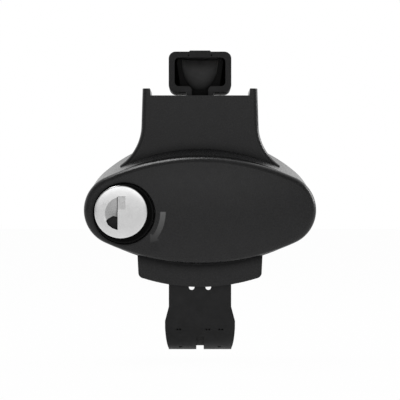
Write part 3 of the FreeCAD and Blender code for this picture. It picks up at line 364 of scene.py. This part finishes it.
def make_finishes():
    black = (0.0145, 0.0145, 0.015)
    return {
        "black_plastic": grained_plastic("grained_black_plastic", black, 0.28, 0.0005, 0.3),
        "foot_plastic": foot_plastic("grained_foot_plastic", black, 0.26, 0.0005, 0.32),
        # The head's insert: painted light and shade along its depth, for light falling in through the head's
        # opening
        "insert_plastic": graded_plastic("insert_plastic", "Y", (-10.5, 6, 12.4), 0.005, 0.26, 0.6, 0.08),
        # A darker copy of the satin chrome: painted shade on the knob's recess floors
        "recess_metal": satin_chrome("satin_chrome_painted_shade", (0.50, 0.50, 0.50), 0.28),
        "cover_plastic": cover_plastic("grained_cover_plastic", (0.0185, 0.0185, 0.019), 0.28, 0.0005, 0.3),
        "dark_plastic": grained_plastic("smooth_dark_plastic", (0.009, 0.009, 0.0095), 0.5, 0.0008, 0.25),
        # Darker than the black plastic: painted shade for what lies deep in the recess round the lock
        "recess_plastic": grained_plastic("matt_plastic_recess_shade", (0.006, 0.006, 0.006), 0.62, 0.0006, 0.2),
        "black_steel": coated_steel("black_coated_steel", (0.020, 0.020, 0.0205), 0.46),
        "zinc_steel": zinc_plated("zinc_plated_steel", (0.62, 0.62, 0.60), 0.36),
        "spring_steel": drawn_wire("spring_wire", (0.42, 0.42, 0.43), 0.34),
        "rubber": soft_rubber("black_rubber", (0.011, 0.011, 0.011), 0.62),
        "lock_metal": satin_chrome("satin_chrome", (0.84, 0.84, 0.84), 0.18),
        # Near-black: painted shade in the knob's key way and slit
        "key_way": coated_steel("key_way_painted_shade", (0.03, 0.03, 0.03), 0.6),
        # The turn arrow: lighter grey towards its top
        "graded_relief": graded_plastic("grey_relief_graded", "Z", (46, 64, 90), 0.028, 0.19, 0.36, 0.4),
    }


def dress_nodes(finishes):
    """Every node of the construction gets the finish of its own material, and a few get one of their own."""
    finish_of = {row["node"]: row["material_slot"] for row in frame["record"]["subparts"]}
    # the lock's sleeve gets the darker plastic, as painted shade deep in the recess
    finish_of["lock_sleeve"] = "recess_plastic"
    finish_of["cover"] = "cover_plastic"
    finish_of["foot_body"] = "foot_plastic"
    finish_of["head_insert"] = "insert_plastic"
    for node, finish in finish_of.items():
        mesh = nodes[node].data
        mesh.materials.clear()
        mesh.materials.append(finishes[finish])


# Modelling helpers

def begin(piece=None):
    """Leaves edit mode and selects nothing but that piece."""
    if bpy.context.mode != "OBJECT":
        bpy.ops.object.mode_set(mode="OBJECT")
    bpy.ops.object.select_all(action="DESELECT")
    if piece:
        bpy.context.view_layer.objects.active = piece
        piece.select_set(True)


def edit_all():
    """Starts edit mode on the active piece with all of it selected."""
    bpy.ops.object.mode_set(mode="EDIT")
    bpy.ops.mesh.select_all(action="SELECT")


def end_edit():
    bpy.ops.object.mode_set(mode="OBJECT")


def place_in_mesh():
    """Leaves the object at the origin, with its place in its mesh."""
    bpy.ops.object.transform_apply(location=True, rotation=True, scale=True)
    return bpy.context.object


def pick(piece, kind, test):
    """In edit mode, selects the faces (FACE) or points (VERT) that pass the test."""
    bpy.ops.object.mode_set(mode="EDIT")
    bpy.ops.mesh.select_mode(type=kind)
    bpy.ops.mesh.select_all(action="DESELECT")
    mesh = bmesh.from_edit_mesh(piece.data)
    for part in mesh.faces if kind == "FACE" else mesh.verts:
        if test(part):
            part.select_set(True)
    mesh.select_flush_mode()
    bmesh.update_edit_mesh(piece.data)


def block(name, low, high):
    """A straight block between its low and its high corner."""
    low, high = Vector(low) * MM, Vector(high) * MM
    begin()
    bpy.ops.mesh.primitive_cube_add(size=1, location=(low + high) / 2)
    bpy.context.object.scale = high - low
    shape = place_in_mesh()
    shape.name = name
    return shape


def cut_off(shape, point, outward):
    """Takes away what lies past a plane through the point, and closes the cut."""
    begin(shape)
    edit_all()
    bpy.ops.mesh.bisect(plane_co=point, plane_no=Vector(outward).normalized(), use_fill=True, clear_outer=True)
    end_edit()


def carve(piece, cutter, finish):
    """Cuts the shape of cutter out of piece; the cut's faces get the finish with that number."""
    for material in piece.data.materials:
        cutter.data.materials.append(material)
    for face in cutter.data.polygons:
        face.material_index = finish
    begin(piece)
    cut = piece.modifiers.new("carve", "BOOLEAN")
    cut.operation = "DIFFERENCE"
    cut.object = cutter
    cut.solver = "EXACT"
    bpy.ops.object.modifier_apply(modifier="carve")
    bpy.data.objects.remove(cutter)


def smooth(piece, degrees):
    begin(piece)
    bpy.ops.object.shade_smooth_by_angle(angle=math.radians(degrees))


# Lock knob

GRIP_EDGE = LOCK_X - 2.0
CUTTER_FRONT = -42
BLIND_END = KNOB_BACK - 0.4
# The knob's finishes by number: satin chrome, its darker copy as painted shade on the recess floors, and a
# near-black as painted shade in the slit and key way
KNOB_FINISHES = ("lock_metal", "recess_metal", "key_way")
SHADED_FLOOR, DARK = 1, 2


def knob_blank():
    """A disc with a slightly domed face and a rounded rim."""
    begin()
    bpy.ops.mesh.primitive_cylinder_add(
        vertices=128, radius=KNOB_RADIUS * MM, depth=(KNOB_BACK - KNOB_RIM) * MM,
        location=(LOCK_X * MM, (KNOB_BACK + KNOB_RIM) / 2 * MM, LOCK_Z * MM),
        rotation=(math.radians(90), 0, 0))
    knob = place_in_mesh()
    knob.name = "lock_knob_detailed"
    pick(knob, "FACE", lambda face: face.normal.y < -0.9)
    rim = ((0.12, 0.20), (0.25, 0.14), (0.35, 0.06))
    dome = ((1.2, 0.11), (1.6, 0.10), (3.4, 0.12), (4.2, 0.06))
    for width, rise in rim + dome:
        bpy.ops.mesh.inset(thickness=width * MM, depth=0)
        bpy.ops.transform.translate(value=(0, -rise * MM, 0))
    end_edit()
    return knob


def finger_recess():
    """Half of a shallow cone, left of the grip's upright edge."""
    mouth, bottom = 11.4, 0.6
    front, depth = -40.7, 3.4
    begin()
    bpy.ops.mesh.primitive_cone_add(
        vertices=128, radius1=mouth * MM, radius2=bottom * MM, depth=depth * MM,
        location=((LOCK_X + 0.25) * MM, (front + depth / 2) * MM, (LOCK_Z - 0.9) * MM),
        rotation=(math.radians(-90), 0, 0))
    cone = place_in_mesh()
    cut_off(cone, (GRIP_EDGE * MM, 0, 0), (1, 0, 0))
    return cone


def grip_ramp():
    """The grip's top sinks in by a ramp that runs out downwards."""
    width, low, high = 4.8, 66.4, 74.4
    deep, shallow = -39.4, -40.3
    ramp = block("ramp", (GRIP_EDGE, CUTTER_FRONT, low), (GRIP_EDGE + width, deep, high))
    middle = Vector((0, (CUTTER_FRONT + deep) / 2, (low + high) / 2)) * MM
    pick(ramp, "VERT", lambda corner: corner.co.z < middle.z and corner.co.y > middle.y)
    bpy.ops.transform.translate(value=(0, (shallow - deep) * MM, 0))
    end_edit()
    return ramp


def grip_slit():
    """A narrow slit beside the upper half of the grip."""
    width, low, high = 0.45, 64.6, 74.0
    return block("slit", (GRIP_EDGE - width, CUTTER_FRONT, low), (GRIP_EDGE, BLIND_END, high))


def key_way():
    """A block, cut off along the key way's outline: reach to the left of the grip's edge, and height."""
    outline = ((7.2, 59.4), (6.0, 60.6), (2.8, 62.4), (0, 61.7), (0, 53.7), (3.2, 54.8), (6.0, 56.9))
    way = block("key_way", (GRIP_EDGE - 8, CUTTER_FRONT, 53), (GRIP_EDGE + 1, BLIND_END, 63))
    for (reach, z), (next_reach, next_z) in zip(outline, outline[1:] + outline[:1]):
        cut_off(way, ((GRIP_EDGE - reach) * MM, 0, z * MM), (z - next_z, 0, reach - next_reach))
    return way


def make_lock_knob(finishes):
    knob = knob_blank()
    for name in KNOB_FINISHES:
        knob.data.materials.append(finishes[name])
    # the recess floors get painted shade, and the slit and key way a near-black painted shade
    for cutter, finish in ((finger_recess(), SHADED_FLOOR), (grip_ramp(), SHADED_FLOOR), (grip_slit(), DARK), (key_way(), DARK)):
        carve(knob, cutter, finish)
    smooth(knob, 30)
    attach(knob, "lock")
    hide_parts("lock_knob")


# Return spring

def make_return_spring(finishes):
    """Round wire wound round the screw; its front end rests on the bracket and its back end on the nut."""
    low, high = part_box("return_spring")
    wire, turns = 0.6 * MM, 6
    coil = (high.x - low.x) / 2 - wire
    centre_z = (low.z + high.z) / 2
    begin()
    bpy.ops.mesh.primitive_circle_add(vertices=12, radius=wire, location=(coil, 0, 0))
    spring = place_in_mesh()
    spring.name = "wound_spring"
    wind = spring.modifiers.new("wind", "SCREW")
    wind.axis = "Y"
    wind.angle = math.radians(360)
    wind.screw_offset = (high.y - low.y - 2 * wire) / turns
    wind.iterations = turns
    wind.steps = 32
    wind.render_steps = 32
    bpy.ops.object.modifier_apply(modifier="wind")
    edit_all()
    bpy.ops.mesh.remove_doubles(threshold=0.000001)
    bpy.ops.mesh.fill_holes(sides=0)
    bpy.ops.mesh.normals_make_consistent(inside=False)
    end_edit()
    spring.location = (0, low.y + wire, centre_z)
    place_in_mesh()
    smooth(spring, 50)
    spring.data.materials.append(finishes["spring_steel"])
    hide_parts("return_spring")
    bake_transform(spring)


# Reliefs on the cover

# They are drawn flat on this level, in front of the cover, and then laid on it
DRAWN_AT = -46


def place_of(x, z):
    return Vector((x, DRAWN_AT, z)) * MM


def plate(name, centre, width, height):
    """A flat oblong."""
    begin()
    bpy.ops.mesh.primitive_plane_add(size=1, location=place_of(*centre), rotation=(math.radians(90), 0, 0))
    bpy.context.object.scale = (width * MM, height * MM, 1)
    mark = place_in_mesh()
    mark.name = name
    return mark


def band(name, centre, radius, half_width, angle, steps):
    """A flat band round a centre, from its right side on; it goes up for a positive angle."""
    x, z = centre
    mark = plate(name, (x + radius, z + half_width), 2 * half_width, 2 * half_width)
    pick(mark, "VERT", lambda point: point.co.z > (z + half_width) * MM)
    bpy.ops.mesh.delete(type="VERT")
    bpy.ops.mesh.select_all(action="SELECT")
    bpy.ops.mesh.spin(steps=steps, angle=math.radians(angle), center=place_of(x, z), axis=(0, 1, 0))
    end_edit()
    return mark


def add_corner(mark, start, end, corner):
    """Grows a triangle from the edge between two points to a new corner."""
    pick(mark, "VERT", lambda point: min((point.co - start).length, (point.co - end).length) < 0.01 * MM)
    bpy.ops.mesh.extrude_region_move()
    bpy.ops.mesh.merge(type="CENTER")
    bpy.ops.transform.translate(value=corner - (start + end) / 2)
    end_edit()


def lay_on_cover(mark, stand_out, finish):
    """Bends a flat mark to the bowed face of the cover, lets it in and makes it stand out."""
    sunk = 0.2
    begin(mark)
    edit_all()
    bpy.ops.mesh.quads_convert_to_tris(quad_method="BEAUTY", ngon_method="BEAUTY")
    end_edit()
    lay = mark.modifiers.new("lay", "SHRINKWRAP")
    lay.target = nodes["cover"]
    lay.wrap_method = "PROJECT"
    lay.use_project_y = True
    bpy.ops.object.modifier_apply(modifier="lay")
    edit_all()
    bpy.ops.transform.translate(value=(0, sunk * MM, 0))
    bpy.ops.mesh.extrude_region_move(TRANSFORM_OT_translate={"value": (0, -(sunk + stand_out) * MM, 0)})
    bpy.ops.mesh.select_all(action="SELECT")
    bpy.ops.mesh.normals_make_consistent(inside=False)
    end_edit()
    smooth(mark, 30)
    mark.data.materials.append(finish)
    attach(mark, "cover")


def make_turn_arrow(finishes):
    """A curved arrow round the lock: which way the key turns."""
    x, z = -48.9, 64.9
    radius, half_width, head_half = 26.2, 1.65, 3.4
    turn, tip_turn = -36, -46
    arrow = band("turn_arrow", (x, z), radius, half_width, turn, steps=24)

    def at(reach, degrees):
        angle = math.radians(degrees)
        return place_of(x + reach * math.cos(angle), z + reach * math.sin(angle))

    inner, outer, tip = at(radius - half_width, turn), at(radius + half_width, turn), at(radius, tip_turn)
    add_corner(arrow, inner, outer, tip)
    add_corner(arrow, inner, tip, at(radius - head_half, turn))
    add_corner(arrow, outer, tip, at(radius + head_half, turn))
    lay_on_cover(arrow, 0.12, finishes["graded_relief"])


def make_padlock_mark(finishes):
    """A small embossed padlock beside the lock."""
    x, z = -28.0, 42.6
    body = plate("padlock_body", (x, z - 0.2), width=4.8, height=3.4)
    bow = band("padlock_bow", (x, z + 1.7), radius=1.5, half_width=0.4, angle=180, steps=12)
    for mark in (body, bow):
        lay_on_cover(mark, 0.10, finishes["black_plastic"])


# Studio

def pale_ground(name, share, reflected, grey):
    """Pale paper that lamps light and shadows darken, and a share of white that cameras and reflections see."""
    paper = Finish(name, (grey, grey, grey), 0.9, specular=0.0)
    rays = paper.add("ShaderNodeLightPath").outputs
    seen = paper.maths("MULTIPLY", rays["Is Camera Ray"], share)
    mirrored = paper.maths("MULTIPLY", rays["Is Glossy Ray"], reflected)
    glow = paper.add("ShaderNodeEmission")
    glow.inputs["Color"].default_value = (1, 1, 1, 1)
    end = paper.nodes["Material Output"].inputs["Surface"]
    paper.mixed(paper.maths("MAXIMUM", seen, mirrored), paper.shader.outputs[0], glow.outputs[0], end)
    return paper.material


def add_sheet(name, place, turn, ground):
    bpy.ops.mesh.primitive_plane_add(size=14, location=place, rotation=(math.radians(turn), 0, 0))
    sheet = bpy.context.object
    sheet.name = name
    sheet.data.materials.append(ground)


def add_lamp(name, place, target, size, watts):
    bpy.ops.object.light_add(type="AREA", location=place)
    light = bpy.context.object
    light.name = name
    light.data.shape = "RECTANGLE"
    light.data.size, light.data.size_y = size
    light.data.energy = watts
    aim = Vector(target) - Vector(place)
    light.rotation_euler = aim.to_track_quat("-Z", "Y").to_euler()


def room_light(room):
    """Strength of the room by direction: a soft band in front, darker above it and aside, light behind."""
    parts = room.parts(room.add("ShaderNodeTexCoord").outputs["Generated"])
    height = room.maths("MULTIPLY_ADD", parts["Z"], 0.5, 0.5)
    front = room.curve(
        height, (0.0, 0.34), (0.42, 0.36), (0.49, 0.42), (0.55, 0.78), (0.61, 1.0), (0.72, 0.36), (1.0, 0.26))
    aside = room.curve(room.maths("ABSOLUTE", parts["X"]), (0.0, 1.0), (0.14, 0.98), (0.42, 0.52), (1.0, 0.45))
    depth = room.maths("MULTIPLY_ADD", parts["Y"], 0.5, 0.5)
    behind = room.curve(depth, (0.0, 0.0), (0.42, 0.02), (0.62, 0.75), (1.0, 0.9))
    lit = room.maths("MULTIPLY", room.maths("MULTIPLY", front, aside), 1.35)
    return room.maths("ADD", lit, behind)


def build_room():
    """White to the camera, shaded by direction for everything else."""
    world = bpy.data.worlds.new("studio")
    scene.world = world
    world.use_nodes = True
    world.node_tree.nodes.clear()
    room = Tree(world.node_tree)
    end = room.add("ShaderNodeOutputWorld").inputs["Surface"]
    shaded = room.add("ShaderNodeBackground")
    white = room.add("ShaderNodeBackground")
    for glow in (shaded, white):
        glow.inputs["Color"].default_value = (1, 1, 1, 1)
    room.link(room_light(room), shaded.inputs["Strength"])
    white.inputs["Strength"].default_value = 1.0
    seen = room.add("ShaderNodeLightPath").outputs["Is Camera Ray"]
    room.mixed(seen, shaded.outputs[0], white.outputs[0], end)


def build_studio():
    ground_level = cad_box[0].z - STRAP_TRAVEL * MM
    floor = pale_ground("pale_floor", share=0.98, reflected=0.50, grey=0.6)
    backdrop = pale_ground("pale_backdrop", share=1.0, reflected=1.0, grey=0.9)
    add_sheet("floor", place=(0, 0, ground_level), turn=0, ground=floor)
    add_sheet("backdrop", place=(0, 5, 4), turn=90, ground=backdrop)
    add_lamp("key_softbox", place=(-0.30, 0.15, 1.15), target=(0, 0, 0.07), size=(0.7, 0.5), watts=7.0)
    add_lamp("fill_softbox", place=(0.95, 0.25, 0.5), target=(0, 0, 0.09), size=(0.5, 0.5), watts=7.0)
    build_room()
    scene.view_settings.view_transform = "Standard"


bpy.ops.object.select_all(action="DESELECT")
put_camera()
finishes = make_finishes()
dress_nodes(finishes)
make_lock_knob(finishes)
make_return_spring(finishes)
make_turn_arrow(finishes)
make_padlock_mark(finishes)
build_studio()
